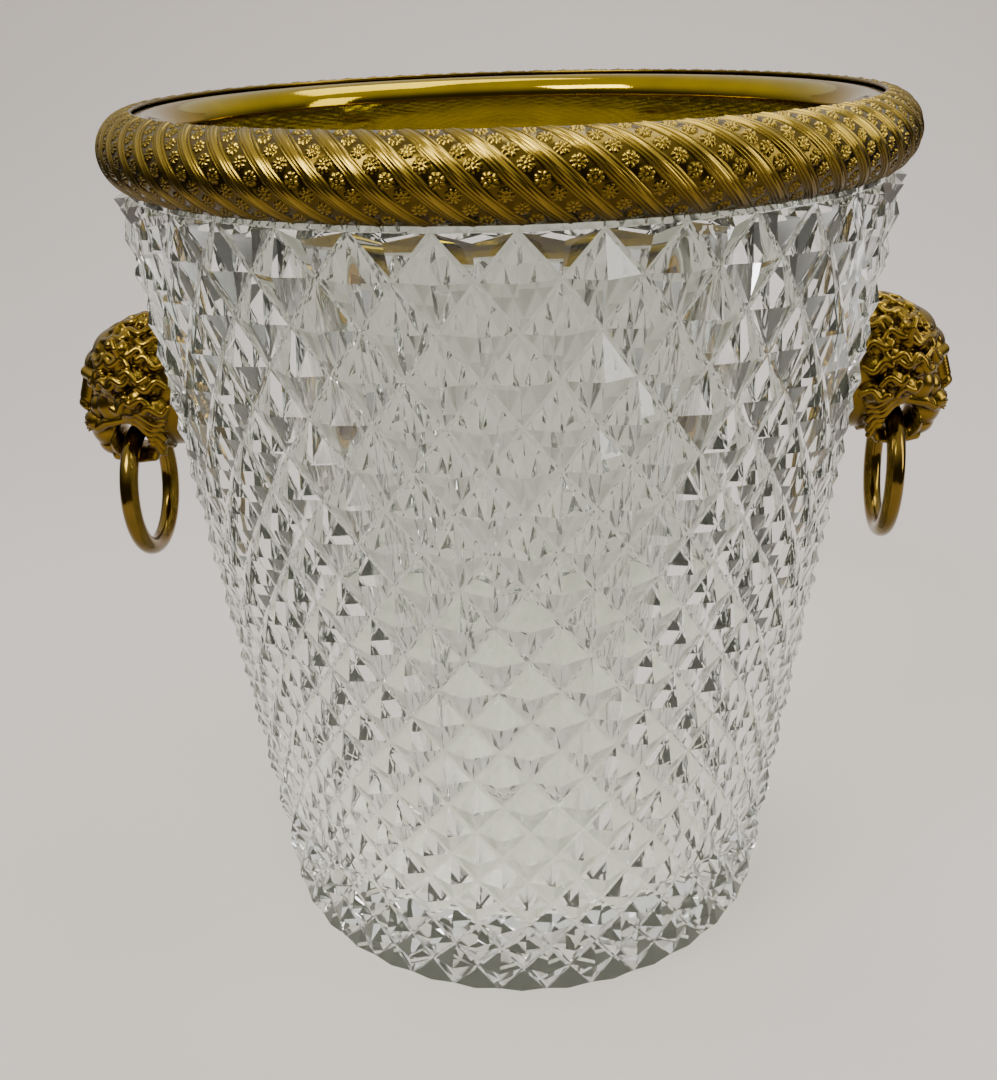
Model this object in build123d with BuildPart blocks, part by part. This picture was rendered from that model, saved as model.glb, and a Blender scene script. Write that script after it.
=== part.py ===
"""Cut crystal champagne bucket with a gilt bronze rim and two lion masks that carry loose rings."""
import os
from math import sqrt

from build123d import *

# Crystal wall, in millimetres. The body stands on Z = 0 and its axis is Z.
base_radius = 80.0            # over the diamond points, at the foot
top_radius = 103.6            # over the diamond points, where the cutting ends
cut_top_height = 221.0        # top of the cut pattern
shoulder_rise = 1.4           # the pattern's top slopes up this much to the plain neck
cut_depth = 3.4               # from a diamond's point down to the grooves, at the top
wall = 9.6                    # from the grooves to the cavity
base_thickness = 22.0
cavity_corner = 5.0           # rounding between the cavity's wall and floor
foot_bevel = 1.2
neck_length = 14.0            # plain lip above the cutting, mostly hidden in the rim

# Gilt rim: a hollow bead outside, and a polished liner inside.
bead_half_width = 10.0
bead_half_height = 9.5
bead_overlap = 7.6            # the bead's middle lies this far inside the diamond points
bead_rise = 11.0              # and this far above the top of the cutting
bead_metal = 1.2
bead_edge_past_middle = 0.3   # the bead's metal stops this far outside its middle
bead_neck_gap = 0.4           # between the crystal's neck and the bead's lower edge
liner_bed = 1.4               # plaster bedding between the liner and the crystal's cavity
liner_metal = 1.2
liner_depth = 17.0            # how far the liner reaches down from the rim's top
liner_roll = 6.0              # radius of the liner's rolled shoulder
collar_clearance = 3.0        # straight wall of the cavity below the liner
collar_slope = 10.0           # height of the slope from there into the tapered wall
liner_flange_past_middle = 1.3   # the flange ends this far outside the bead's middle
liner_flange_drop = 1.4       # the flange lies this far below the bead's top
cement_gap = 0.1              # modelled gap at each face of the bedding
cement_end_gap = 1.0          # the bedding stops this far above the liner's lower edge

# Lion masks. The outlines are seen from the side: distance out from the diamond points at the
# stud, and height over the stud.
mask_below_cut_top = 56.0     # from the top of the cutting down to the fixing stud
mask_glass_gap = 0.3
mane_half_width = 18.5
mane_half_height = 22.6
mane_centre_rise = 0.5
face_half_width = 10.2
mane_side = [(-7.6, 22), (8.4, 22.5), (15.4, 19), (20.4, 12), (20.9, 2), (16.4, -5.5), (7.9, -12),
             (5.9, -17.6), (3.2, -18.4), (-7.6, -17)]
face_side = [(2.4, 19), (11.4, 21.5), (19.4, 17), (26.9, 9), (28.9, 3.5), (28.4, -0.5), (30.6, -5),
             (28.8, -9), (29.2, -14), (25.9, -19.4), (19.4, -21.4), (10.4, -21.6), (2.4, -17)]

# Hanging rings and the mouth that each one hangs in.
ring_wire = 5.4               # wire diameter
ring_radius = 18.5            # to the middle of the wire
ring_turn = {"left": -2.4, "right": -6.9}   # degrees about the vertical, as each loose ring hangs
mouth_out = 14.4              # the mouth's axis, out from the diamond points at the stud
mouth_drop = 13.5             # and below the stud
mouth_bore = 9.4              # diameter of the plain part
mouth_plain_half = 5.5        # half length of the plain part
mouth_flare = 14.4            # diameter at the cheeks

# Fixing of each mask through the wall.
stud_diameter = 5.0
stud_hole_clearance = 1.6     # of the hole in the crystal over the bush
bush_wall = 1.0
bush_clearance = 0.2
seat_diameter = 26.0
seat_depth = 4.6              # flat ground for the gasket, in from the diamond points
gasket_diameter = 23.0
gasket_thickness = 1.5
boss_diameter = 22.0
stud_grip = 12.0              # length of stud held in the mask
inner_seat_diameter = 22.0
inner_seat_depth = 1.2        # ground below the cavity wall's nearest point
soft_washer_diameter = 19.0
soft_washer_thickness = 1.5
washer_diameter = 15.0
washer_thickness = 1.2
nut_flats = 8.0
nut_height = 4.5
nut_shoulder = 0.4            # flat rim round the nut's dome
face_gap = 0.05               # between stacked pieces of the fixing
thread_gap = 0.1
stud_chamfer = 0.5
washer_chamfer = 0.3

cutter_length = 60.0          # long enough for any cutter to pass right through its piece
sides = {"left": -1, "right": 1}

# Sizes that follow from the ones above.
slope = (top_radius - base_radius) / cut_top_height
groove_radius_top = top_radius - cut_depth
cavity_top_radius = groove_radius_top - wall
lip_top_height = cut_top_height + neck_length
bead_centre_radius = top_radius - bead_overlap
bead_centre_height = cut_top_height + bead_rise
rim_top = bead_centre_height + bead_half_height
liner_radius = cavity_top_radius - liner_bed - liner_metal
liner_bottom = rim_top - liner_depth
liner_flange_top = rim_top - liner_flange_drop
liner_flange_radius = bead_centre_radius + liner_flange_past_middle
liner_outer = liner_radius + liner_metal
collar_seat = liner_bottom - collar_clearance
collar_run_out = collar_seat - collar_slope
bush_diameter = stud_diameter + 2 * (bush_wall + bush_clearance)
stud_hole = bush_diameter + stud_hole_clearance


def point_radius(height):
    """Radius over the diamond points at a height."""
    return base_radius + slope * height


def cavity_radius(height):
    """Radius of the cavity's wall at a height."""
    return point_radius(height) - cut_depth - wall


def inside_flat(radius, height):
    """Distance from the axis of the flat inside the wall, for a fixing at this height."""
    lowest = cavity_radius(height - radius)
    return sqrt(lowest ** 2 - radius ** 2) + inner_seat_depth


# Each fixing lies along the X axis, at the height of the mask's stud.
mask_height = cut_top_height - mask_below_cut_top
mask_root = point_radius(mask_height)
mouth_radius_out = mask_root + mouth_out
mouth_height = mask_height - mouth_drop
seat_radius_out = mask_root - seat_depth
inner_flat = inside_flat(inner_seat_diameter / 2, mask_height)
boss_face = seat_radius_out + gasket_thickness + 2 * face_gap
stud_outer_end = boss_face + stud_grip
soft_washer_face = inner_flat - face_gap
washer_face = soft_washer_face - soft_washer_thickness - face_gap
nut_face = washer_face - washer_thickness - face_gap
stud_inner_end = nut_face - nut_height + face_gap

os.makedirs("parts", exist_ok=True)


def save(part, name):
    part.label = name
    export_step(part, f"parts/{name}.step")


# The crystal: one thick-walled blank, ground flat and drilled where the masks are fixed.
with BuildPart() as crystal:
    with BuildSketch(Plane.XZ):
        with BuildLine():
            Polyline((0, 0), (base_radius - foot_bevel, 0), (base_radius, foot_bevel),
                     (top_radius, cut_top_height), (groove_radius_top, cut_top_height + shoulder_rise),
                     (groove_radius_top, lip_top_height), (cavity_top_radius, lip_top_height),
                     (cavity_top_radius, collar_seat), (cavity_radius(collar_run_out), collar_run_out),
                     (cavity_radius(base_thickness), base_thickness), (0, base_thickness), close=True)
        make_face()
    revolve(axis=Axis.Z)
    floor_edge = crystal.edges().filter_by(GeomType.CIRCLE).filter_by(
        lambda e: abs(e.center().Z - base_thickness) < 0.01)
    fillet(floor_edge, cavity_corner)
    for way in sides.values():
        with Locations(Location((way * seat_radius_out, 0, mask_height), (0, way * 90, 0))):
            Cylinder(seat_diameter / 2, cutter_length, align=(Align.CENTER, Align.CENTER, Align.MIN),
                     mode=Mode.SUBTRACT)
        with Locations(Location((way * inner_flat, 0, mask_height), (0, -way * 90, 0))):
            Cylinder(inner_seat_diameter / 2, cutter_length, align=(Align.CENTER, Align.CENTER, Align.MIN),
                     mode=Mode.SUBTRACT)
            Cylinder(stud_hole / 2, cutter_length, mode=Mode.SUBTRACT)
save(crystal.part, "crystal_body")

# The bead: a hollow half-round moulding that caps the outside of the lip.
with BuildPart() as bead:
    with BuildSketch(Plane.XZ):
        with Locations((bead_centre_radius, bead_centre_height)):
            Ellipse(bead_half_width, bead_half_height)
            Ellipse(bead_half_width - bead_metal, bead_half_height - bead_metal, mode=Mode.SUBTRACT)
        with Locations((bead_centre_radius + bead_edge_past_middle, bead_centre_height)):
            Rectangle(cutter_length, cutter_length, align=(Align.MAX, Align.CENTER), mode=Mode.SUBTRACT)
        with Locations((groove_radius_top + bead_neck_gap, bead_centre_height)):
            Rectangle(cutter_length, cutter_length, align=(Align.MAX, Align.MAX), mode=Mode.SUBTRACT)
    revolve(axis=Axis.Z)
save(bead.part, "rim_bead")

# The liner: a polished sleeve, with a shoulder rolled out under the bead's edge.
with BuildPart() as liner:
    with BuildSketch(Plane.XZ) as liner_section:
        with BuildLine():
            liner_path = FilletPolyline((liner_radius + liner_metal / 2, liner_bottom),
                                        (liner_radius + liner_metal / 2, liner_flange_top - liner_metal / 2),
                                        (liner_flange_radius, liner_flange_top - liner_metal / 2),
                                        radius=liner_roll - liner_metal / 2)
            offset(amount=liner_metal / 2, side=Side.BOTH, kind=Kind.INTERSECTION)
        make_face()
    revolve(axis=Axis.Z)
save(liner.part, "rim_liner")

# The bedding: sets round the lip, inside the bead and behind the liner.
with BuildPart() as cement:
    under_flange = liner_flange_top - liner_metal - cement_gap
    with BuildSketch(Plane.XZ):
        with Locations((bead_centre_radius, bead_centre_height)):
            Ellipse(bead_half_width - bead_metal - cement_gap, bead_half_height - bead_metal - cement_gap)
        with Locations((liner_outer + cement_gap, liner_bottom + cement_end_gap)):
            Rectangle(cavity_top_radius - liner_outer - 2 * cement_gap,
                      bead_centre_height - liner_bottom - cement_end_gap, align=(Align.MIN, Align.MIN))
        with Locations((cavity_top_radius - cement_gap, lip_top_height + cement_gap)):
            Rectangle(groove_radius_top - cavity_top_radius + 2 * cement_gap, cutter_length,
                      align=(Align.MIN, Align.MAX), mode=Mode.SUBTRACT)
        with BuildLine():
            FilletPolyline((liner_outer + cement_gap, 0), (liner_outer + cement_gap, under_flange),
                           (2 * top_radius, under_flange), radius=liner_roll - liner_metal - cement_gap)
            Polyline((2 * top_radius, under_flange), (2 * top_radius, 2 * rim_top), (0, 2 * rim_top), (0, 0),
                     (liner_outer + cement_gap, 0))
        make_face(mode=Mode.SUBTRACT)
    revolve(axis=Axis.Z)
save(cement.part, "rim_cement")


def outline(points, way):
    """The same side view for either mask: +X points out on the right, -X on the left."""
    return [(way * (mask_root + out), mask_height + rise) for out, rise in points]


for name, way in sides.items():

    def along(distance):
        """A place on this side's stud, its own Z pointing out of the bucket."""
        return Location((way * distance, 0, mask_height), (0, way * 90, 0))

    # The mask: a broad mane behind a narrower face, hollowed for the ring and shaped to the wall.
    with BuildPart() as mask:
        with BuildSketch(Plane.XZ):
            with BuildLine():
                Polyline(*outline(mane_side, way), close=True)
            make_face()
        extrude(amount=mane_half_width, both=True)
        with BuildSketch(Plane.YZ):
            with Locations((0, mask_height + mane_centre_rise)):
                Ellipse(mane_half_width, mane_half_height)
        extrude(amount=way * 2 * top_radius, mode=Mode.INTERSECT)
        with BuildSketch(Plane.XZ):
            with BuildLine():
                Polyline(*outline(face_side, way), close=True)
            make_face()
        extrude(amount=face_half_width, both=True)
        with BuildSketch(Plane.XZ):
            with BuildLine():
                Polyline((0, 0), (point_radius(0) + mask_glass_gap, 0),
                         (point_radius(rim_top) + mask_glass_gap, rim_top), (0, rim_top), close=True)
            make_face()
        revolve(axis=Axis.Z, mode=Mode.SUBTRACT)
        with Locations(Location((way * boss_face, 0, mask_height), (0, way * 90, 0))):
            Cylinder(boss_diameter / 2, stud_grip, align=(Align.CENTER, Align.CENTER, Align.MIN))
            Cylinder(stud_diameter / 2 + thread_gap, stud_grip + face_gap,
                     align=(Align.CENTER, Align.CENTER, Align.MIN), mode=Mode.SUBTRACT)
        with Locations(Location((way * mouth_radius_out, 0, mouth_height), (90, 0, 0))):
            Cylinder(mouth_bore / 2, 2 * mane_half_width, mode=Mode.SUBTRACT)
        for cheek in (-1, 1):
            with Locations(Location((way * mouth_radius_out, cheek * mouth_plain_half, mouth_height),
                                    (-cheek * 90, 0, 0))):
                Cone(mouth_bore / 2, mouth_flare / 2, face_half_width - mouth_plain_half,
                     align=(Align.CENTER, Align.CENTER, Align.MIN), mode=Mode.SUBTRACT)
    save(mask.part, f"{name}_mask")

    # The ring: a plain round wire, brazed shut, threaded through the mouth.
    with BuildPart() as ring:
        hung = Location((way * mouth_radius_out, 0, mouth_height - ring_radius), (0, 0, ring_turn[name]))
        with Locations(hung * Location((0, 0, 0), (0, 90, 0))):
            Torus(ring_radius, ring_wire / 2)
    save(ring.part, f"{name}_ring")

    # The fixing, from the mask inwards: gasket, bush, stud, soft washer, washer and nut.
    with BuildPart() as gasket:
        with Locations(along(seat_radius_out + face_gap)):
            Cylinder(gasket_diameter / 2, gasket_thickness, align=(Align.CENTER, Align.CENTER, Align.MIN))
            Cylinder(bush_diameter / 2 + bush_clearance, cutter_length, mode=Mode.SUBTRACT)
    save(gasket.part, f"{name}_mask_gasket")

    with BuildPart() as bush:
        with Locations(along(inner_flat + face_gap)):
            Cylinder(bush_diameter / 2, seat_radius_out - inner_flat,
                     align=(Align.CENTER, Align.CENTER, Align.MIN))
            Cylinder(stud_diameter / 2 + bush_clearance, cutter_length, mode=Mode.SUBTRACT)
    save(bush.part, f"{name}_bush")

    with BuildPart() as stud:
        with Locations(along(stud_inner_end)):
            Cylinder(stud_diameter / 2, stud_outer_end - stud_inner_end,
                     align=(Align.CENTER, Align.CENTER, Align.MIN))
        chamfer(stud.edges().filter_by(GeomType.CIRCLE), stud_chamfer)
    save(stud.part, f"{name}_stud")

    with BuildPart() as soft_washer:
        with Locations(along(soft_washer_face - soft_washer_thickness)):
            Cylinder(soft_washer_diameter / 2, soft_washer_thickness,
                     align=(Align.CENTER, Align.CENTER, Align.MIN))
            Cylinder(stud_diameter / 2 + bush_clearance, cutter_length, mode=Mode.SUBTRACT)
    save(soft_washer.part, f"{name}_soft_washer")

    with BuildPart() as washer:
        with Locations(along(washer_face - washer_thickness)):
            Cylinder(washer_diameter / 2, washer_thickness, align=(Align.CENTER, Align.CENTER, Align.MIN))
            Cylinder(stud_diameter / 2 + bush_clearance, cutter_length, mode=Mode.SUBTRACT)
        chamfer(washer.edges().filter_by(GeomType.CIRCLE).sort_by(SortBy.RADIUS)[-2:], washer_chamfer)
    save(washer.part, f"{name}_washer")

    # A domed nut closes the stud's end, so that nothing sharp stands inside.
    with BuildPart() as nut:
        with BuildSketch(Plane(along(nut_face))):
            RegularPolygon(nut_flats / 2, 6, major_radius=False)
        extrude(amount=-nut_height)
        with Locations(along(nut_face - nut_height)):
            Sphere(nut_flats / 2 - nut_shoulder, arc_size1=-90, arc_size2=0,
                   align=(Align.CENTER, Align.CENTER, Align.MAX))
            Cylinder(stud_diameter / 2 + thread_gap, nut_height,
                     align=(Align.CENTER, Align.CENTER, Align.MIN), mode=Mode.SUBTRACT)
    save(nut.part, f"{name}_dome_nut")
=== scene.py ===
import math
import random

import bmesh
import bpy
import numpy as np
from mathutils import Matrix, Vector


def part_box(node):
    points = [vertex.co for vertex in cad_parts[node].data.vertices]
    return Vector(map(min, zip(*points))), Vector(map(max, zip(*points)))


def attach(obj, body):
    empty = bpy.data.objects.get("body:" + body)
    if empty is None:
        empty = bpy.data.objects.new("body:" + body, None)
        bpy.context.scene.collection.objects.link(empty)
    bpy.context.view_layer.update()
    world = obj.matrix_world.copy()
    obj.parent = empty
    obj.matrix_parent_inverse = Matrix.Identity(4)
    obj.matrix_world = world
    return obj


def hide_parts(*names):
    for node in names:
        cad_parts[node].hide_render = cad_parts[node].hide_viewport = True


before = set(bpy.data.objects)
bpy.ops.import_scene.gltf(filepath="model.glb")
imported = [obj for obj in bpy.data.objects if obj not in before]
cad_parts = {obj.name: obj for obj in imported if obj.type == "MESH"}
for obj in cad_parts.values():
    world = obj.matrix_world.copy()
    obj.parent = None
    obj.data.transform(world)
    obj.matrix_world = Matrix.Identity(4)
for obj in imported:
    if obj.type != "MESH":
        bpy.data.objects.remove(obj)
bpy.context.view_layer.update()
mm = 0.001
for spare in ("Cube", "Light", "Camera"):
    if spare in bpy.data.objects:
        bpy.data.objects.remove(bpy.data.objects[spare])


def hexColor(code):
    # sRGB hex to the linear values that shaders take
    channels = [int(code[i:i + 2], 16) / 255 for i in (1, 3, 5)]
    linear = [c / 12.92 if c <= 0.04045 else ((c + 0.055) / 1.055) ** 2.4 for c in channels]
    return (*linear, 1.0)


def addNode(tree, kind, links=None, **settings):
    # one node with its settings; links maps an input to the output that feeds it
    node = tree.nodes.new(kind)
    for key, value in settings.items():
        if hasattr(node, key) and key not in node.inputs:
            setattr(node, key, value)
        else:
            node.inputs[key.replace("_", " ")].default_value = value
    for socket, source in (links or {}).items():
        tree.links.new(source, node.inputs[socket])
    return node


def newMaterial(name):
    material = bpy.data.materials.new(name)
    material.use_nodes = True
    tree = material.node_tree
    tree.nodes.clear()
    output = addNode(tree, "ShaderNodeOutputMaterial")
    return material, tree, output


def makeObject(name, points, faces, smooth=True):
    mesh = bpy.data.meshes.new(name)
    mesh.from_pydata([tuple(p) for p in points], [], faces)
    mesh.validate()
    mesh.update()
    mesh.shade_smooth() if smooth else mesh.shade_flat()
    obj = bpy.data.objects.new(name, mesh)
    bpy.context.scene.collection.objects.link(obj)
    return obj


def finishPiece(obj, body, slot, *nodes):
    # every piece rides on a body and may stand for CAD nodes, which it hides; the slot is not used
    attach(obj, body)
    if nodes:
        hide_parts(*nodes)


def setMaterial(obj, material):
    obj.data.materials.clear()
    obj.data.materials.append(material)


def nodeRadius(node, low, high):
    # largest distance from the axis of a CAD node between two heights
    points = np.array([v.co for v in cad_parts[node].data.vertices])
    near = points[(points[:, 2] >= low) & (points[:, 2] <= high)]
    return float(np.hypot(near[:, 0], near[:, 1]).max())


camera = {"distance": 0.3404, "height": 0.2635, "tiltDegrees": 26.93, "headingDegrees": 0.92,
          "rollDegrees": -1.78, "lensMm": 39.52, "shiftX": -0.0028, "shiftY": 0.0556}
studio = {"floorColor": "#CFC6C0", "floorDrop": 0.15 * mm, "wallDistance": 0.95, "wallCurve": 0.6,
          "wallTop": 0.34, "halfWidth": 0.64, "curveSteps": 24, "brightSide": "#FAFAF6", "dimSide": "#4A4842",
          "worldStrength": 0.95, "keyWatts": 10.0, "topWatts": 6.0, "sideWatts": 4.0}


def addCamera():
    data = bpy.data.cameras.new("camera")
    data.sensor_width = 36
    data.lens = camera["lensMm"]
    data.shift_x, data.shift_y = camera["shiftX"], camera["shiftY"]
    data.clip_start = 0.01
    obj = bpy.data.objects.new("camera", data)
    bpy.context.scene.collection.objects.link(obj)
    turn = (Matrix.Rotation(math.radians(camera["headingDegrees"]), 4, "Z")
            @ Matrix.Rotation(math.radians(90 - camera["tiltDegrees"]), 4, "X")
            @ Matrix.Rotation(math.radians(camera["rollDegrees"]), 4, "Z"))
    obj.matrix_world = Matrix.Translation((0, -camera["distance"], camera["height"])) @ turn
    bpy.context.scene.camera = obj


def addAreaLight(name, place, aim, width, height, power):
    data = bpy.data.lights.new(name, "AREA")
    data.shape = "RECTANGLE"
    data.size, data.size_y, data.energy = width, height, power
    obj = bpy.data.objects.new(name, data)
    bpy.context.scene.collection.objects.link(obj)
    direction = Vector(aim) - Vector(place)
    obj.matrix_world = Matrix.Translation(place) @ direction.to_track_quat("-Z", "Y").to_matrix().to_4x4()


def addStudio():
    # one sheet: the floor, then a soft curve up behind, with its end turned back down over the top
    reach, curve, drop = studio["wallDistance"], studio["wallCurve"], studio["floorDrop"]
    section = [(-2.0, -drop), (reach - curve, -drop)]
    for step in range(1, studio["curveSteps"] + 1):
        angle = step / studio["curveSteps"] * math.pi / 2
        section.append((reach - curve + curve * math.sin(angle), curve - curve * math.cos(angle) - drop))
    section.append((reach, studio["wallTop"]))
    points = [(side, y, z) for y, z in section for side in (-studio["halfWidth"], studio["halfWidth"])]
    faces = [(2 * i, 2 * i + 1, 2 * i + 3, 2 * i + 2) for i in range(len(section) - 1)]
    sheet = makeObject("floor and wall", points, faces)
    material, tree, output = newMaterial("paleBackdropPaper")
    shader = addNode(tree, "ShaderNodeBsdfPrincipled", Base_Color=hexColor(studio["floorColor"]),
                     Roughness=0.8)   # matt paper, so nothing competes with the glass
    tree.links.new(shader.outputs[0], output.inputs["Surface"])
    setMaterial(sheet, material)
    addRoom()
    addAreaLight("key softbox", (-0.45, -0.55, 1.0), (0, 0, 0.15), 0.5, 0.35, studio["keyWatts"])
    addAreaLight("top softbox", (0.25, 0.25, 1.1), (0, 0, 0.15), 0.7, 0.5, studio["topWatts"])
    addAreaLight("side softbox", (0.95, -0.25, 0.5), (0, 0, 0.15), 0.3, 0.7, studio["sideWatts"])


def addRoom():
    # a bright ceiling over dim walls, so that the facets tell apart
    world = bpy.data.worlds.new("studio")
    world.use_nodes = True
    tree = world.node_tree
    tree.nodes.clear()
    direction = addNode(tree, "ShaderNodeSeparateXYZ",
                        {"Vector": addNode(tree, "ShaderNodeTexCoord").outputs["Generated"]})
    behind = addNode(tree, "ShaderNodeMath", {0: direction.outputs["Y"]}, operation="MULTIPLY")
    behind.inputs[1].default_value = 0.3
    both = addNode(tree, "ShaderNodeMath", {0: behind.outputs[0], 1: direction.outputs["Z"]}, operation="ADD")
    side = addNode(tree, "ShaderNodeMapRange", {"Value": both.outputs[0]}, interpolation_type="SMOOTHSTEP")
    side.inputs["From Min"].default_value, side.inputs["From Max"].default_value = 0.0, 0.75
    room = addNode(tree, "ShaderNodeMix", {"Factor": side.outputs[0]}, data_type="RGBA")
    room.inputs[6].default_value = hexColor(studio["dimSide"])
    room.inputs[7].default_value = hexColor(studio["brightSide"])
    background = addNode(tree, "ShaderNodeBackground", {"Color": room.outputs[2]},
                         Strength=studio["worldStrength"])
    addNode(tree, "ShaderNodeOutputWorld", {"Surface": background.outputs[0]})
    bpy.context.scene.world = world


addCamera()
addStudio()
print("camera and studio ready")


crystal = {"columns": 36, "rows": 22, "cutTop": 221 * mm, "shoulderRise": 1.4 * mm,
           "firstFullRow": 212.6 * mm, "grooveWidth": 0.8 * mm, "footBevel": 1.2 * mm,
           "seatRadius": 13.0 * mm, "innerSeatRadius": 11.0 * mm, "holeRadius": 4.5 * mm, "footCutShare": 0.3,
           "insideOf": 9.0 * mm, "besideFixings": 30 * mm, "aboveBase": 10 * mm, "cutterReach": 20 * mm,
           "cutterPast": 5 * mm, "handJitter": 0.2 * mm, "jitterStep": 8 * mm, "turnDegrees": -4.1,
           "drift": (0.205, 0.672, -1.31), "seed": 4, "bloom": 0.03}


def leadCrystal():
    # cut lead crystal, acid polished: clear, very smooth, and every facet shows another part of the room
    material, tree, output = newMaterial("cutLeadCrystal")
    shader = addNode(tree, "ShaderNodeBsdfPrincipled", Base_Color=hexColor("#FFFFFF"), Roughness=0.0,
                     IOR=1.52, Transmission_Weight=1.0)
    dust = addNode(tree, "ShaderNodeBsdfDiffuse", Color=hexColor("#C9CCC0"))
    bloom = addNode(tree, "ShaderNodeMixShader", {1: shader.outputs[0], 2: dust.outputs[0]})
    bloom.inputs[0].default_value = crystal["bloom"]   # fine wear that lets each facet take its own light
    clear = addNode(tree, "ShaderNodeBsdfTransparent", Color=hexColor("#F0F2EC"))
    path = addNode(tree, "ShaderNodeLightPath")
    mix = addNode(tree, "ShaderNodeMixShader", {0: path.outputs["Is Shadow Ray"], 1: bloom.outputs[0],
                                                2: clear.outputs[0]})   # lamps light what stands behind it
    volume = addNode(tree, "ShaderNodeVolumeAbsorption", Color=hexColor("#EDF0EA"), Density=1.6)
    tree.links.new(mix.outputs[0], output.inputs["Surface"])
    tree.links.new(volume.outputs[0], output.inputs["Volume"])
    return material


def buildCrystal():
    rng = random.Random(crystal["seed"])
    columns, rows = crystal["columns"], crystal["rows"]
    footRadius = nodeRadius("crystal_body", 0.0, 3 * mm)
    topRadius = nodeRadius("crystal_body", 150 * mm, 222 * mm)
    cutTop = crystal["cutTop"]
    slope = (topRadius - footRadius) / cutTop
    firstRow = crystal["firstFullRow"]
    shrink = ((footRadius + slope * firstRow) / footRadius) ** (1 / rows)

    def rowHeight(row):
        # cells keep their shape as the body tapers, so rows get closer towards the foot
        if row < 0:
            return cutTop
        return (footRadius * shrink ** (rows - row) - footRadius) / slope

    neckRadius = nodeRadius("crystal_body", cutTop + 2 * crystal["shoulderRise"], 1.0)
    cutDepth = topRadius - neckRadius

    def pointRadius(z):
        return footRadius + slope * z

    def drift(row):
        # the columns wander a little, as hand-laid cutting does
        share = max(row, 0) / rows
        return sum(c * share ** (i + 1) for i, c in enumerate(crystal["drift"]))

    def depthAt(row):
        depth = cutDepth * pointRadius(rowHeight(row)) / topRadius
        return depth * (crystal["footCutShare"] if row == rows else 1)

    def place(radius, step, z):
        angle = math.radians(crystal["turnDegrees"] - 90) + step * math.pi / columns
        return Vector((radius * math.cos(angle), radius * math.sin(angle), z))

    def jitter(row):
        amount = crystal["handJitter"] if 0 <= row < rows else 0
        return rng.uniform(-amount, amount)

    points, faces, index = [], [], {}

    def addPoint(key, point):
        index[key] = len(points)
        points.append(point)
        return index[key]

    steps = 2 * columns
    for row in range(-1, rows + 1):
        for step in range(steps):
            z = rowHeight(row)
            isCorner = (row + step) % 2 == 0
            radius = pointRadius(z) - (depthAt(row) if isCorner else 0)
            lift = crystal["shoulderRise"] if isCorner and row < 0 else 0
            addPoint((row, step), place(radius, step + drift(row) + jitter(row) / crystal["jitterStep"],
                                        z + lift + jitter(row)))
    inset = crystal["grooveWidth"]
    for row in range(-1, rows + 1):
        for step in range(steps):
            if (row + step) % 2 == 0:
                continue
            apex = points[index[(row, step)]]
            keys = {"left": (row, (step - 1) % steps), "right": (row, (step + 1) % steps)}
            if row > -1:
                keys["up"] = (row - 1, step)
            if row < rows:
                keys["down"] = (row + 1, step)
            rim = {}
            for side, key in keys.items():
                corner = points[index[key]]
                share = 1 - inset / max((corner - apex).length, inset)
                edge = apex.lerp(corner, share)
                radial = Vector((edge.x, edge.y, 0)).normalized()
                target = math.hypot(corner.x, corner.y) + slope * (edge.z - corner.z)
                edge = edge + radial * (target - math.hypot(edge.x, edge.y))
                if row == rows and side in ("left", "right"):
                    edge.z = corner.z
                rim[side] = addPoint(("rim", row, step, side), edge)
            for first, second in (("left", "up"), ("up", "right"), ("right", "down"), ("down", "left")):
                if first in keys and second in keys:
                    faces.append((index[(row, step)], rim[second], rim[first]))
                    faces.append((rim[first], rim[second], index[keys[second]], index[keys[first]]))
    # shoulder triangles over the top half cells, and the plain neck above them
    for step in range(steps):
        addPoint(("neck", step), place(neckRadius, step, cutTop + 1.2 * crystal["shoulderRise"]))
    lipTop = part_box("crystal_body")[1][2]
    for step in range(steps):
        addPoint(("lip", step), place(neckRadius, step, lipTop))
    for step in range(steps):
        following = (step + 1) % steps
        faces.append((index[("neck", step)], index[("neck", following)], index[("lip", following)],
                      index[("lip", step)]))
        if (-1 + step) % 2 == 0:
            across = (step + 2) % steps
            tip = following
            left, right = index[(-1, step)], index[(-1, across)]
            leftRim, rightRim = index[("rim", -1, tip, "left")], index[("rim", -1, tip, "right")]
            apex = index[(-1, tip)]
            faces.append((leftRim, apex, rightRim))
            faces.append((left, leftRim, rightRim, right, index[("neck", across)], index[("neck", tip)],
                          index[("neck", step)]))
    # foot: a small bevel, then the flat that it stands on
    bevel = crystal["footBevel"]
    ring = []
    for step in range(steps):
        if (rows + step) % 2 == 0:
            ring.append(index[(rows, step)])
        else:
            ring += [index[("rim", rows, step, "left")], index[(rows, step)],
                     index[("rim", rows, step, "right")]]
    for i in ring:
        points[i] = Vector((points[i].x, points[i].y, bevel))
    standing = []
    for i in ring:
        p = points[i]
        standing.append(len(points))
        points.append(Vector((p.x, p.y, 0)) * (1 - bevel / p.length))
    count = len(ring)
    for i in range(count):
        j = (i + 1) % count
        faces.append((ring[j], ring[i], standing[i], standing[j]))
    faces.append(tuple(reversed(standing)))
    cutFaces = len(faces)
    # cavity: the CAD node's own inner outline, turned smooth
    inner = cavityOutline(lambda z: pointRadius(z) - crystal["insideOf"])
    rings = []
    for radius, z in inner:
        ringPoints = []
        for step in range(2 * steps):
            angle = math.radians(crystal["turnDegrees"] - 90) + step * math.pi / (2 * columns)
            ringPoints.append(len(points))
            points.append(Vector((radius * math.cos(angle), radius * math.sin(angle), z)))
        rings.append(ringPoints)
    for a, b in zip(rings, rings[1:]):
        for i in range(len(a)):
            j = (i + 1) % len(a)
            faces.append((a[i], a[j], b[j], b[i]))
    faces.append(tuple(rings[-1]))
    smoothTo = len(faces)
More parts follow.
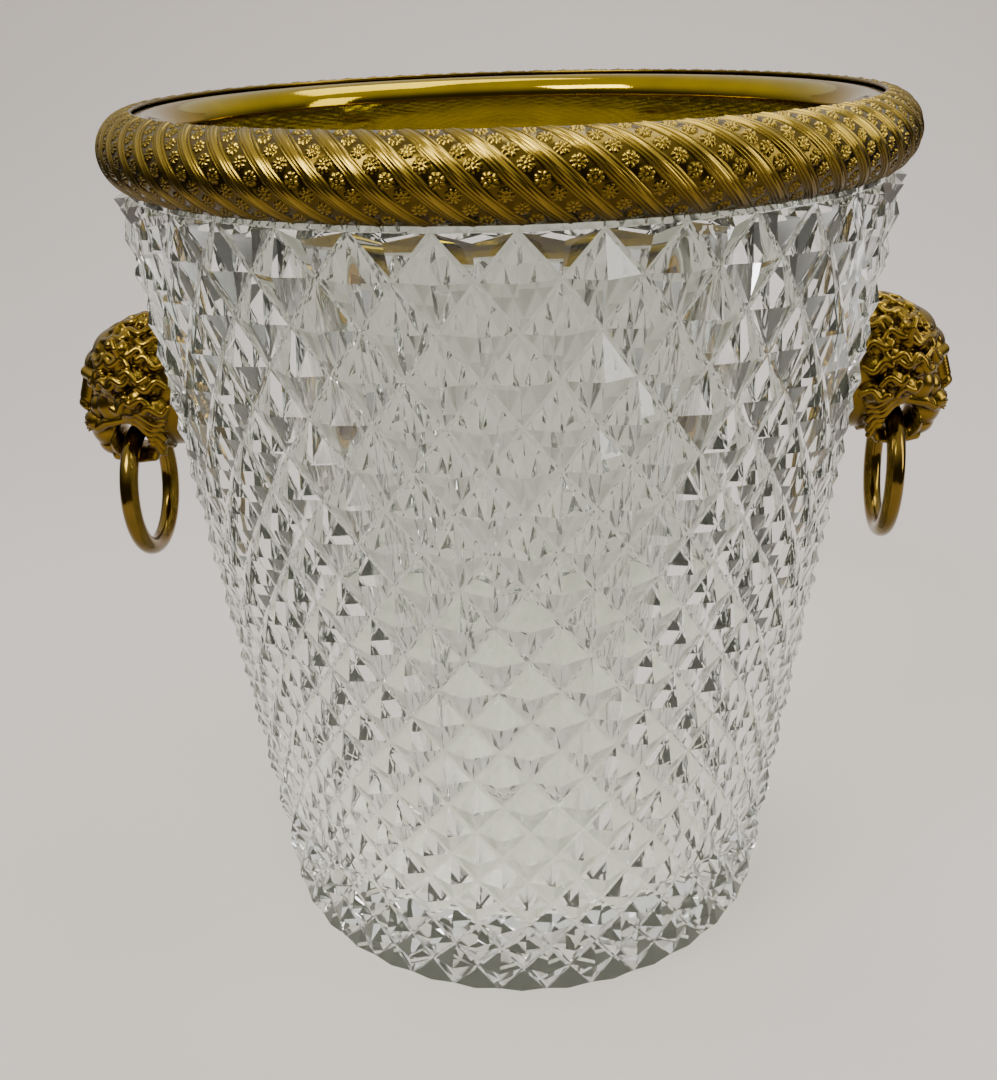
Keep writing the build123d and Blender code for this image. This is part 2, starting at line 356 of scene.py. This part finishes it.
    # the flat ground top of the lip joins the neck to the cavity
    for step in range(steps):
        following = (step + 1) % steps
        fine = [rings[0][(2 * step) % len(rings[0])], rings[0][(2 * step + 1) % len(rings[0])],
                rings[0][(2 * step + 2) % len(rings[0])]]
        faces.append((index[("lip", step)], index[("lip", following)], fine[2], fine[1], fine[0]))
    body = makeObject("crystal_body_cut", points, faces, smooth=False)
    return body, cutFaces, smoothTo


def cavityOutline(limitAt):
    # the CAD crystal's cavity from the lip down to the floor, away from the fixings
    outline = {}
    for point in (v.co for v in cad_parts["crystal_body"].data.vertices):
        radius = math.hypot(point.x, point.y)
        clear = abs(point.y) > crystal["besideFixings"] and point.z > crystal["aboveBase"]
        if clear and radius < limitAt(point.z):
            height = round(point.z, 5)
            outline[height] = max(outline.get(height, 0), radius)
    return sorted(((radius, z) for z, radius in outline.items()), key=lambda item: -item[1])


def cutFixings(body):
    # flats and stud holes, as the CAD crystal has them
    gasket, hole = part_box("right_mask_gasket"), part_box("right_bush")
    middle = (gasket[0][2] + gasket[1][2]) / 2
    outside, inside, past = gasket[0][0], hole[0][0], crystal["cutterPast"]
    cutters = bmesh.new()
    for way in (-1, 1):
        for radius, start, end in ((crystal["seatRadius"], outside, outside + crystal["cutterReach"]),
                                   (crystal["innerSeatRadius"], inside - crystal["cutterReach"], inside),
                                   (crystal["holeRadius"], inside - past, outside + past)):
            place = (Matrix.Translation((way * (start + end) / 2, 0, middle))
                     @ Matrix.Rotation(math.pi / 2, 4, "Y"))
            bmesh.ops.create_cone(cutters, cap_ends=True, segments=48, radius1=radius, radius2=radius,
                                  depth=end - start, matrix=place)
    subtract(body, cutters, "EXACT", useSelf=True)


def applyModifiers(obj):
    graph = bpy.context.evaluated_depsgraph_get()
    mesh = bpy.data.meshes.new_from_object(obj.evaluated_get(graph))
    obj.modifiers.clear()
    obj.data = mesh


def subtract(obj, cutters, solver="MANIFOLD", useSelf=False):
    # the cutters are used up
    tool = bpy.data.objects.new("cutters", bpy.data.meshes.new("cutters"))
    cutters.to_mesh(tool.data)
    cutters.free()
    bpy.context.scene.collection.objects.link(tool)
    cut = obj.modifiers.new("cut", "BOOLEAN")
    cut.operation, cut.object, cut.solver = "DIFFERENCE", tool, solver
    if useSelf:
        cut.use_self = True
    applyModifiers(obj)
    bpy.data.objects.remove(tool)


crystalBody, cutFaces, smoothTo = buildCrystal()
welded = bmesh.new()
welded.from_mesh(crystalBody.data)
for number, face in enumerate(welded.faces):
    face.smooth = cutFaces <= number < smoothTo
bmesh.ops.remove_doubles(welded, verts=welded.verts, dist=0.002 * mm)
bmesh.ops.recalc_face_normals(welded, faces=welded.faces)
print("crystal open edges", sum(1 for e in welded.edges if not e.is_manifold))
welded.to_mesh(crystalBody.data)
welded.free()
cutFixings(crystalBody)
setMaterial(crystalBody, leadCrystal())
finishPiece(crystalBody, "bucket", "cut_crystal", "crystal_body")
print("crystal ready", len(crystalBody.data.polygons))


bead = {"periods": 66, "samplesPerPeriod": 42, "samplesAcross": 108, "halfWidth": 10.0 * mm,
        "halfHeight": 9.5 * mm, "lowAngle": -66, "topAngle": 88, "metal": 1.1 * mm, "lean": 0.98,
        "phase": 0.265, "flowerPitch": 3.1 * mm, "flowerFirst": -2.2 * mm, "flowerRadius": 1.75 * mm,
        "petals": 8, "petalHeight": 0.42 * mm, "wideReed": 0.46 * mm, "groundSink": 0.08 * mm,
        "flowerHalf": 0.26, "reedBand": (0.27, 0.73), "inset": 0.35 * mm, "edgeRows": 4,
        "outerRadius": 106 * mm,
        "reeds": ((0.305, 0.034, 0.26 * mm), (0.395, 0.04, 0.3 * mm), (0.5, 0.06, 0.46 * mm),
                  (0.605, 0.04, 0.3 * mm), (0.695, 0.034, 0.26 * mm))}


def smoothStep(low, high, x):
    t = np.clip((x - low) / (high - low), 0, 1)
    return t * t * (3 - 2 * t)


def reedProfile(x, centre, half):
    # a round-backed rib between centre - half and centre + half
    t = np.clip(np.abs(x - centre) / half, 0, 1)
    return np.sqrt(1 - t * t)


def beadRelief(turn, along):
    # height over the plain bead, from the angle round the axis and the length along the section
    circumference = 2 * math.pi * bead["outerRadius"]
    period = circumference / bead["periods"]
    phase = bead["periods"] * turn / (2 * math.pi) + bead["lean"] * along / period + bead["phase"]
    band = np.round(phase)
    across = phase - band
    flowerBand = np.abs(across) < bead["flowerHalf"]
    height = -bead["groundSink"] * flowerBand
    wave = np.mod(phase, 1.0)
    ribbed = (wave > bead["reedBand"][0]) & (wave < bead["reedBand"][1])
    height = np.where(ribbed, -2.5 * bead["groundSink"], height)
    for centre, half, lift in bead["reeds"]:
        rib = np.abs(wave - centre) < half
        height = np.where(rib, lift * reedProfile(wave, centre, half), height)
    row = np.round((along - bead["flowerFirst"]) / bead["flowerPitch"])
    down = along - bead["flowerFirst"] - row * bead["flowerPitch"]
    side = across * period - bead["lean"] * down
    distance = np.hypot(side, down) / bead["flowerRadius"]
    angle = np.arctan2(down, side) + 0.7 * row + 1.3 * band
    lobes = 0.5 + 0.5 * np.cos(bead["petals"] * angle)
    petal = smoothStep(0.15, 0.6, lobes) * smoothStep(0.2, 0.4, distance)
    petal *= 1 - smoothStep(0.8, 1.0, distance)
    button = 1 - smoothStep(0.12, 0.24, distance)
    flower = bead["petalHeight"] * np.maximum(petal * (1 - 0.3 * distance), 0.9 * button)
    return np.where((distance < 1.0) & flowerBand, height + flower, height)


def buildBead():
    low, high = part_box("rim_bead")
    centreRadius = high[0] - bead["halfWidth"]
    centreHeight = high[2] - bead["halfHeight"]
    columns = bead["periods"] * bead["samplesPerPeriod"]
    rowsAcross = bead["samplesAcross"]
    section = np.radians(np.linspace(bead["lowAngle"], bead["topAngle"], rowsAcross))
    turn = np.linspace(0, 2 * math.pi, columns, endpoint=False)
    turnGrid, sectionGrid = np.meshgrid(turn, section, indexing="ij")
    along = sectionGrid * (bead["halfWidth"] + bead["halfHeight"]) / 2
    relief = beadRelief(turnGrid, along)
    edge = smoothStep(0, bead["edgeRows"], np.minimum(np.arange(rowsAcross), np.arange(rowsAcross)[::-1]))
    relief = relief * edge - bead["inset"]   # sunk, so that the reeds rise only a hair past the plain bead
    radius = centreRadius + (bead["halfWidth"] + relief) * np.cos(sectionGrid)
    height = centreHeight + (bead["halfHeight"] + relief) * np.sin(sectionGrid)
    inner = np.radians(np.linspace(bead["topAngle"], bead["lowAngle"], 12))
    innerRadius = centreRadius + (bead["halfWidth"] - bead["metal"]) * np.cos(inner)
    innerHeight = centreHeight + (bead["halfHeight"] - bead["metal"]) * np.sin(inner)
    radius = np.concatenate([radius, np.tile(innerRadius, (columns, 1))], axis=1)
    height = np.concatenate([height, np.tile(innerHeight, (columns, 1))], axis=1)
    spin = turn[:, None] - math.pi / 2
    points = np.stack([radius * np.cos(spin), radius * np.sin(spin), height], axis=2)
    obj = gridObject("rim_bead_relief", points)
    recess = np.zeros(points.shape[:2])
    recess[:, :rowsAcross] = (relief + bead["inset"]) / bead["wideReed"]
    shade = obj.data.attributes.new("relief", "FLOAT", "POINT")
    shade.data.foreach_set("value", recess.ravel().astype(np.float32))
    return obj


def gridObject(name, points):
    # closed both ways: columns round the axis, rows round the section
    columns, rows = points.shape[:2]
    a = np.arange(columns * rows).reshape(columns, rows)
    right, up = np.roll(a, -1, axis=0), np.roll(a, -1, axis=1)
    both = np.roll(right, -1, axis=1)
    faces = np.stack([a, right, both, up], axis=2).reshape(-1, 4)
    mesh = bpy.data.meshes.new(name)
    mesh.vertices.add(columns * rows)
    mesh.vertices.foreach_set("co", points.reshape(-1).astype(np.float32))
    mesh.loops.add(faces.size)
    mesh.loops.foreach_set("vertex_index", faces.reshape(-1).astype(np.int32))
    mesh.polygons.add(len(faces))
    mesh.polygons.foreach_set("loop_start", np.arange(0, faces.size, 4, dtype=np.int32))
    mesh.update(calc_edges=True)
    mesh.validate()
    mesh.shade_smooth()
    obj = bpy.data.objects.new(name, mesh)
    bpy.context.scene.collection.objects.link(obj)
    return obj


def castGilt(name, tones, roughness, reliefName=None, paintedUnderShade=0.0):
    # cast bronze, fire gilt: bright where hands polish it, patina left in the hollows, and painted shade that
    # darkens the sides facing down
    high, mid, patinaAndShadeTone = tones
    material, tree, output = newMaterial(name)
    place = addNode(tree, "ShaderNodeTexCoord")
    cloud = addNode(tree, "ShaderNodeTexNoise", {"Vector": place.outputs["Object"]}, Scale=90.0, Detail=4.0)
    grit = addNode(tree, "ShaderNodeTexNoise", {"Vector": place.outputs["Object"]}, Scale=1400.0, Detail=2.0)
    tone = addNode(tree, "ShaderNodeMix", {"Factor": cloud.outputs["Fac"]}, data_type="RGBA")
    tone.inputs[6].default_value = hexColor(mid)
    tone.inputs[7].default_value = hexColor(high)
    colour = tone.outputs[2]
    if reliefName:
        relief = addNode(tree, "ShaderNodeAttribute", attribute_name=reliefName)
        hollow = addNode(tree, "ShaderNodeMapRange", {"Value": relief.outputs["Fac"]},
                         interpolation_type="SMOOTHSTEP")
        hollow.inputs["From Min"].default_value = -0.62
        hollow.inputs["From Max"].default_value = 0.7
        patina = addNode(tree, "ShaderNodeMix", {"Factor": hollow.outputs[0]}, data_type="RGBA")
        patina.inputs[6].default_value = hexColor(patinaAndShadeTone)
        tree.links.new(colour, patina.inputs[7])
        colour = patina.outputs[2]
    # painted shade: surfaces facing down are mixed towards the third tone, more so the more they face the
    # floor
    if paintedUnderShade:
        facing = addNode(tree, "ShaderNodeSeparateXYZ", {"Vector": place.outputs["Normal"]})
        under = addNode(tree, "ShaderNodeMapRange", {"Value": facing.outputs["Z"]},
                        interpolation_type="SMOOTHSTEP")
        under.inputs["From Min"].default_value = 0.45
        under.inputs["From Max"].default_value = -0.75
        under.inputs["To Max"].default_value = paintedUnderShade
        shadeBelow = addNode(tree, "ShaderNodeMix", {"Factor": under.outputs[0]}, data_type="RGBA")
        tree.links.new(colour, shadeBelow.inputs[6])
        shadeBelow.inputs[7].default_value = hexColor(patinaAndShadeTone)
        colour = shadeBelow.outputs[2]
    bump = addNode(tree, "ShaderNodeBump", {"Height": grit.outputs["Fac"]}, Strength=0.2, Distance=0.05 * mm)
    shader = addNode(tree, "ShaderNodeBsdfPrincipled",
                     {"Base Color": colour, "Normal": bump.outputs["Normal"]},
                     Metallic=1.0, Roughness=roughness)
    tree.links.new(shader.outputs[0], output.inputs["Surface"])
    return material


def latheObject(name, outline, segments=256):
    turn = np.linspace(0, 2 * math.pi, segments, endpoint=False)[:, None]
    radius = np.array([p[0] for p in outline])[None, :]
    height = np.tile(np.array([p[1] for p in outline])[None, :], (segments, 1))
    return gridObject(name, np.stack([radius * np.cos(turn), radius * np.sin(turn), height], axis=2))


liner = {"radius": 88.0 * mm, "metal": 1.2 * mm, "roll": 6.0 * mm, "rollSteps": 16, "rimFillet": 0.3 * mm}


def buildLiner():
    low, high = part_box("rim_liner")
    bottom, top, flange = low[2], high[2], high[0]
    inside, outside = [], []
    for step in range(liner["rollSteps"] + 1):
        angle = math.pi - step * math.pi / 2 / liner["rollSteps"]
        centre = (liner["radius"] + liner["roll"], top - liner["roll"])
        for radius, side in ((liner["roll"], inside), (liner["roll"] - liner["metal"], outside)):
            side.append((centre[0] + radius * math.cos(angle), centre[1] + radius * math.sin(angle)))
    soft = liner["rimFillet"]
    ends = [(flange - soft, top), (flange, top - soft), (flange, top - liner["metal"])]
    foot = [(liner["radius"] + liner["metal"], bottom), (liner["radius"] + soft, bottom),
            (liner["radius"], bottom + soft)]
    return latheObject("rim_liner_polished", inside + ends + outside[::-1] + foot)


# each set is high, mid and third tone; the third tone is the patina in the hollows and the painted shade on
# down-facing sides, where a material uses them
gilt = {"castTones": ("#B4973A", "#866C20", "#241A05"), "polishedTones": ("#A68C16", "#86700E", "#5A4006"),
        "maskTones": ("#9C7E2C", "#70581A", "#181002"), "wornTones": ("#80682A", "#5C481A", "#20180A"),
        "brassTones": ("#C9A552", "#B8943E", "#8A6A20")}
beadObject = buildBead()
# 0.75 is the strength of the painted shade on the bead's down-facing sides
beadGilt = castGilt("fireGiltBronzeCast", gilt["castTones"], 0.2, "relief", 0.75)
setMaterial(beadObject, beadGilt)
finishPiece(beadObject, "bucket", "antique_gilt", "rim_bead")
linerObject = buildLiner()
setMaterial(linerObject, castGilt("giltBronzePolished", gilt["polishedTones"], 0.07))
finishPiece(linerObject, "bucket", "polished_gilt", "rim_liner")
print("rim ready", len(beadObject.data.polygons))


lion = {"voxel": 0.3, "glassGap": 0.3, "mouthHeight": 151.5, "mouthBore": 10.0, "mouthPlainHalf": 3.2,
        "mouthFlare": 12.6, "cheekHalf": 10.2, "lockLength": 7.4, "lockTube": 1.4, "lockSwing": 1.15,
        "lockRise": 0.5, "lockDrift": 0.3,
        "flareForward": 0.5, "flareDown": 1.4, "fineAbove": 2.4, "strands": 7, "seed": 11,
        "maneRows": ((25, 4, 54), (38, 7, 76), (51, 9, 100), (64, 11, 106), (77, 12, 108), (90, 12, 108)),
        "studHeight": 165.0, "studHole": 5.2, "bossFace": 94.6, "holeDepth": 16.0}


def buildLion():
    # one head in millimetres, looking along +X; built of overlapping balls, then skinned as one casting
    rng = random.Random(lion["seed"])
    balls = []

    def ball(centre, radii, tilt=0.0):
        radii = radii if isinstance(radii, tuple) else (radii,) * 3
        c, t = math.cos(tilt), math.sin(tilt)
        turn = np.array([[c, 0, t], [0, 1, 0], [-t, 0, c]])
        balls.append((np.array(centre, float), turn @ np.diag(radii)))

    def rope(points, widths):
        # a tapering bar through the points
        points = [np.array(p, float) for p in points]
        for i in range(len(points) - 1):
            gap = np.linalg.norm(points[i + 1] - points[i])
            steps = max(1, int(gap / (0.35 * min(widths[i], widths[i + 1]))))
            for k in range(steps):
                share = k / steps
                ball(points[i] * (1 - share) + points[i + 1] * share,
                     widths[i] * (1 - share) + widths[i + 1] * share)
        ball(points[-1], widths[-1])

    def lock(centre, normal, flow, hand):
        # a lock of hair lying on the head in one S-shaped wave
        normal = normal / np.linalg.norm(normal)
        flow = flow - flow.dot(normal) * normal
        flow /= np.linalg.norm(flow)
        side = np.cross(normal, flow)
        drift = rng.uniform(-lion["lockDrift"], lion["lockDrift"])
        c, t = math.cos(drift), math.sin(drift)
        flow, side = flow * c + side * t, side * c - flow * t
        points, widths = [], []
        for k in range(17):
            share = k / 16
            swing = lion["lockSwing"] * hand * math.sin(2.2 * math.pi * share)
            points.append(centre + lion["lockLength"] * (share - 0.4) * flow + swing * side
                          + (lion["lockRise"] * math.sin(math.pi * share) - 0.1) * normal)
            widths.append(lion["lockTube"] * (1 - 0.4 * share))
        rope(points, widths)
        ball(centre - 2.6 * normal, 3.4)

    ball((100, 0, 166.0), (14, 15.2, 19.2))                       # the mane's mass, behind the face
    ball((108.5, 0, 162.5), (9.5, 11.5, 15.5))
    ball((113.5, 0, 174.0), (8.6, 9.0, 8.0))                      # forehead
    ball((119.0, 0, 171.0), (6.0, 7.0, 5.6))
    for flip in (-1, 1):
        rope([(123.8, flip * 1.4, 169.0), (123.4, flip * 4.2, 170.0), (120.8, flip * 7.0, 169.4),
              (117.4, flip * 9.2, 167.2)], [1.6, 2.0, 1.8, 1.2])   # brow
        ball((120.2, flip * 5.6, 166.2), 2.2)                     # eye
        rope([(122.6, flip * 3.3, 165.7), (122.5, flip * 5.4, 167.7), (120.0, flip * 8.1, 166.4)],
             [0.6, 0.65, 0.55])                                       # upper lid
        rope([(122.5, flip * 3.4, 165.2), (122.0, flip * 5.5, 164.2), (119.8, flip * 7.9, 165.2)],
             [0.55, 0.6, 0.5])                                        # lower lid
        ball((115.6, flip * 7.6, 161.0), (5.4, 3.6, 5.6))          # cheekbone
        ball((119.4, flip * 5.2, 160.2), (4.4, 3.8, 4.2))
        ball((121.9, flip * 3.9, 155.6), (4.7, 4.6, 4.2))          # whisker pad
        ball((126.0, flip * 2.2, 159.3), 1.35)                    # nostril's wing
        ball((109.0, flip * 6.8, 152.6), (7.4, 4.4, 9.0))          # side of the jaw, bored for the ring
        ball((113.6, flip * 5.2, 149.0), (6.6, 5.0, 5.2))
        rope([(122.0, flip * 7.0, 154.2), (118.4, flip * 8.8, 156.4), (111.5, flip * 9.9, 157.8),
              (105.0, flip * 9.6, 155.0)], [1.7, 1.8, 2.0, 1.9])   # lip that runs over the mouth
        rope([(103.6, flip * 9.4, 151.0), (106.4, flip * 9.2, 145.6), (112.0, flip * 8.4, 144.6),
              (118.0, flip * 6.0, 145.4)], [1.9, 1.5, 1.3, 1.8])   # jaw under the mouth
        for height in (157.4, 155.7, 154.0):
            for k in range(4):                                    # whisker roots
                side = 2.4 + 1.5 * k
                inside = 1 - ((side - 3.9) / 4.8) ** 2 - ((height - 155.6) / 4.5) ** 2
                out = 121.9 + 4.7 * math.sqrt(max(0.0, inside))
                ball((out, flip * side, height - 0.25 * k), 0.42)
        rope([(110.5, flip * 9.5, 179.0), (112.0, flip * 11.8, 180.8), (111.0, flip * 13.8, 179.0),
              (110.4, flip * 13.2, 176.0)], [1.0, 1.1, 1.0, 0.8])  # ear, half hidden in the hair
        ball((109.0, flip * 11.8, 178.2), (2.0, 2.4, 2.6))
    rope([(120.6, 0, 171.8), (123.8, 0, 166.5), (125.2, 0, 161.8)], [3.1, 2.8, 3.0])   # bridge of the nose
    ball((126.2, 0, 160.0), (2.6, 3.2, 2.2))
    ball((118.6, 0, 157.2), (6.4, 7.0, 3.6))
    ball((120.2, 0, 152.8), (6.0, 8.2, 6.4))                       # closed front of the muzzle
    ball((117.6, 0, 148.2), (7.2, 7.8, 4.6))                       # chin
    ball((121.8, 0, 147.8), (1.8, 3.2, 2.4))
    rope([(124.6, -3.0, 151.3), (125.3, 0, 151.8), (124.6, 3.0, 151.3)], [0.95, 1.1, 0.95])   # lower lip
    centre, spread = np.array((102.0, 0, 164.4)), np.array((22.0, 17.4, 20.4))
    for row, (turn, count, reach) in enumerate(lion["maneRows"]):
        theta = math.radians(turn)
        for k in range(count):
            share = (k + 0.5 * (row % 2)) / (count - 1)
            phi = math.radians(-reach + 2 * reach * share + rng.uniform(-2, 2))
            if abs(math.degrees(phi)) > reach:
                continue
            ring = np.array((0.0, math.sin(phi), math.cos(phi)))
            normal = math.cos(theta) * np.array((1.0, 0.0, 0.0)) + math.sin(theta) * ring
            spot = centre + spread * normal
            if spot[2] < 161 + max(0.0, spot[0] - 114) * 1.2:
                continue
            flow = -math.sin(theta) * np.array((1.0, 0.0, 0.0)) + math.cos(theta) * ring
            lock(spot, normal / spread, flow, 1 if (k + row) % 2 else -1)
    for flip in (-1, 1):
        for k in range(lion["strands"]):
            start = np.array((117.0 - 1.6 * k, flip * (10.2 + 0.15 * k), 165.6 - 2.1 * k))
            end = np.array((100.0 + 0.5 * k, flip * (14.6 - 0.75 * k), 161.0 - 2.3 * k))
            points, widths = [], []
            for step in range(15):
                share = step / 14
                spot = start * (1 - share) + end * share
                spot[2] += 0.75 * math.sin(3.4 * math.pi * share + 1.3 * k)
                spot[1] += flip * (1.6 - 0.15 * k) * math.sin(math.pi * share)
                points.append(spot)
                widths.append(1.45 - 0.5 * share)
            rope(points, widths)
        rope([(104.5, flip * 6.5, 152.5), (102.6, flip * 5.2, 148.6), (101.8, flip * 3.4, 146.9)],
             [2.2, 1.6, 0.9])                                         # tuft behind the jaw
    return skinBalls(balls)


def unitBall(subdivisions):
    ball = bmesh.new()
    bmesh.ops.create_icosphere(ball, subdivisions=subdivisions, radius=1)
    ball.verts.ensure_lookup_table()
    shape = np.array([v.co for v in ball.verts])
    sides = np.array([[v.index for v in f.verts] for f in ball.faces])
    ball.free()
    return shape, sides


def skinBalls(balls):
    # all the balls, then one even skin over them
    coarse, fine = unitBall(2), unitBall(5)
    points, faces, used = [], [], 0
    for centre, stretch in balls:
        form, flats = fine if np.abs(stretch).max() > lion["fineAbove"] else coarse
        points.append(form @ stretch.T + centre)
        faces.append(flats + used)
        used += len(form)
    obj = triangleObject("lion_mask", np.concatenate(points), np.concatenate(faces))
    skin = obj.modifiers.new("skin", "REMESH")
    skin.mode, skin.voxel_size, skin.use_smooth_shade = "VOXEL", lion["voxel"], True
    soft = obj.modifiers.new("soften", "SMOOTH")
    soft.factor, soft.iterations = 0.5, 1
    applyModifiers(obj)
    return obj


def triangleObject(name, points, faces):
    mesh = bpy.data.meshes.new(name)
    mesh.vertices.add(len(points))
    mesh.vertices.foreach_set("co", points.reshape(-1).astype(np.float32))
    mesh.loops.add(faces.size)
    mesh.loops.foreach_set("vertex_index", faces.reshape(-1).astype(np.int32))
    mesh.polygons.add(len(faces))
    mesh.polygons.foreach_set("loop_start", np.arange(0, faces.size, 3, dtype=np.int32))
    mesh.update(calc_edges=True)
    obj = bpy.data.objects.new(name, mesh)
    bpy.context.scene.collection.objects.link(obj)
    return obj


def hollowLion(obj, mouthOut, footRadius, slope):
    # the back follows the glass; the ring's bore runs through the mouth, wider at the cheeks
    glass = bmesh.new()
    low, high = 130.0, 200.0
    bmesh.ops.create_cone(glass, cap_ends=True, segments=360, depth=high - low,
                          radius1=footRadius + slope * low + lion["glassGap"],
                          radius2=footRadius + slope * high + lion["glassGap"],
                          matrix=Matrix.Translation((0, 0, (low + high) / 2)))
    subtract(obj, glass)
    bore = bmesh.new()
    across = Matrix.Translation((mouthOut, 0, lion["mouthHeight"])) @ Matrix.Rotation(math.pi / 2, 4, "X")
    bmesh.ops.create_cone(bore, cap_ends=True, segments=64, depth=60, radius1=lion["mouthBore"] / 2,
                          radius2=lion["mouthBore"] / 2, matrix=across)
    subtract(obj, bore)
    for flip in (-1, 1):
        # the bore opens downwards and forwards at the cheek, where the ring's sides swing
        flare = bmesh.new()
        grow = (lion["mouthFlare"] - lion["mouthBore"]) / 2
        for share in (0.0, 2.0):
            side = lion["mouthPlainHalf"] + share * (lion["cheekHalf"] - lion["mouthPlainHalf"])
            radius = lion["mouthBore"] / 2 + share * grow
            for k in range(48):
                angle = 2 * math.pi * k / 48
                flare.verts.new((mouthOut + lion["flareForward"] * share + radius * math.cos(angle),
                                 flip * side,
                                 lion["mouthHeight"] - lion["flareDown"] * share + radius * math.sin(angle)))
        bmesh.ops.convex_hull(flare, input=flare.verts)
        bmesh.ops.recalc_face_normals(flare, faces=flare.faces)
        subtract(obj, flare)
    hole = bmesh.new()
    place = (Matrix.Translation((lion["bossFace"] + lion["holeDepth"] / 4, 0, lion["studHeight"]))
             @ Matrix.Rotation(math.pi / 2, 4, "Y"))
    bmesh.ops.create_cone(hole, cap_ends=True, segments=48, depth=lion["holeDepth"],
                          radius1=lion["studHole"] / 2,
                          radius2=lion["studHole"] / 2, matrix=place)
    subtract(obj, hole)


def shadeRelief(obj, rounds=14, height=0.35):
    # how far each point stands proud of its smoothed surroundings, for the patina
    mesh = obj.data
    points = np.empty(3 * len(mesh.vertices))
    mesh.vertices.foreach_get("co", points)
    points = points.reshape(-1, 3)
    ends = np.empty(2 * len(mesh.edges), dtype=np.int64)
    mesh.edges.foreach_get("vertices", ends)
    a, b = ends[0::2], ends[1::2]
    count = np.bincount(ends, minlength=len(points))[:, None]
    calm = points.copy()
    for _ in range(rounds):
        total = np.stack([np.bincount(a, calm[b, i], len(points)) + np.bincount(b, calm[a, i], len(points))
                          for i in range(3)], axis=1)
        calm = 0.3 * calm + 0.7 * total / np.maximum(count, 1)
    normals = np.empty(3 * len(mesh.vertices))
    mesh.vertices.foreach_get("normal", normals)
    proud = ((points - calm) * normals.reshape(-1, 3)).sum(axis=1) / height
    shade = mesh.attributes.new("relief", "FLOAT", "POINT")
    shade.data.foreach_set("value", np.clip(0.35 + proud, -0.5, 1.5).astype(np.float32))


def buildMasks():
    ringLow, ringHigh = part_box("right_ring")
    footRadius = nodeRadius("crystal_body", 0.0, 3 * mm) / mm
    topRadius = nodeRadius("crystal_body", 150 * mm, 222 * mm) / mm
    head = buildLion()
    hollowLion(head, (ringLow.x + ringHigh.x) / 2 / mm, footRadius,
               (topRadius - footRadius) / (crystal["cutTop"] / mm))
    shadeRelief(head)
    head.data.transform(Matrix.Scale(mm, 4))
    head.data.shade_smooth()
    # 0.6 is the strength of the painted shade on the masks' down-facing sides
    material = castGilt("fireGiltBronzeChased", gilt["maskTones"], 0.25, "relief", 0.6)
    for name, turn in (("right", 0.0), ("left", math.pi)):
        mesh = head.data.copy()
        mesh.transform(Matrix.Rotation(turn, 4, "Z"))
        obj = bpy.data.objects.new(name + "_lion_mask", mesh)
        bpy.context.scene.collection.objects.link(obj)
        setMaterial(obj, material)
        finishPiece(obj, "bucket", "antique_gilt", name + "_mask")
    print("masks ready", len(head.data.polygons))
    bpy.data.objects.remove(head)


buildMasks()


rings = {"wire": 5.4 * mm, "turnDegrees": {"left": -2.4, "right": -6.9}, "around": 120, "section": 32,
         "wear": 0.12 * mm}


def buildRing(name):
    # drawn wire bent round and brazed shut; the top has rubbed a little thin in the mouth
    low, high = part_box(name + "_ring")
    centre, wire = (low + high) / 2, rings["wire"] / 2
    radius = (high.z - low.z) / 2 - wire
    around = np.linspace(0, 2 * math.pi, rings["around"], endpoint=False)[:, None]
    section = np.linspace(0, 2 * math.pi, rings["section"], endpoint=False)[None, :]
    thin = wire - rings["wear"] * np.exp(-((np.mod(around + math.pi, 2 * math.pi) - math.pi) / 0.35) ** 2)
    reach = radius + thin * np.cos(section)
    out = thin * np.sin(section)
    across, up = reach * np.sin(around), reach * np.cos(around)
    turn = math.radians(rings["turnDegrees"][name])
    points = np.stack([centre.x + out * math.cos(turn) - across * math.sin(turn),
                       centre.y + out * math.sin(turn) + across * math.cos(turn), centre.z + up], axis=2)
    obj = gridObject(name + "_ring_worn", points)
    setMaterial(obj, ringGilt)
    finishPiece(obj, name + "_ring", "worn_gilt", name + "_ring")


# 0.35 is the strength of the painted shade on the rings' down-facing sides; the dome nuts share this gilt
ringGilt = castGilt("giltBronzeWorn", gilt["wornTones"], 0.13, None, 0.35)
for side in ("left", "right"):
    buildRing(side)
print("rings ready")


def plainMaterial(name, color, roughness, metallic=0.0, grain=900.0, contrast=0.08):
    # even body colour with a faint grain
    material, tree, output = newMaterial(name)
    place = addNode(tree, "ShaderNodeTexCoord")
    noise = addNode(tree, "ShaderNodeTexNoise", {"Vector": place.outputs["Object"]}, Scale=grain, Detail=3.0)
    mix = addNode(tree, "ShaderNodeMix", {"Factor": noise.outputs["Fac"]}, data_type="RGBA")
    base = hexColor(color)
    mix.inputs[6].default_value = (*[c * (1 - contrast) for c in base[:3]], 1)
    mix.inputs[7].default_value = (*[min(1, c * (1 + contrast)) for c in base[:3]], 1)
    shader = addNode(tree, "ShaderNodeBsdfPrincipled", {"Base Color": mix.outputs[2]}, Roughness=roughness,
                     Metallic=metallic)
    tree.links.new(shader.outputs[0], output.inputs["Surface"])
    return material


def finishFixings():
    # the CAD pieces of the fixings are right as they stand and only need their finishes
    turned = castGilt("brassTurned", gilt["brassTones"], 0.22)
    rubber = plainMaterial("rubberMoulded", "#A8A496", 0.5)
    nylon = plainMaterial("nylonTurned", "#DEDACB", 0.42)
    finishes = {"mask_gasket": rubber, "soft_washer": rubber, "bush": nylon, "stud": turned, "washer": turned,
                "dome_nut": ringGilt}
    for side in ("left", "right"):
        for piece, material in finishes.items():
            setMaterial(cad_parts[side + "_" + piece], material)
    setMaterial(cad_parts["rim_cement"], plainMaterial("plasterSet", "#CBBFA6", 0.85, grain=400.0))


finishFixings()
print("fixings ready")
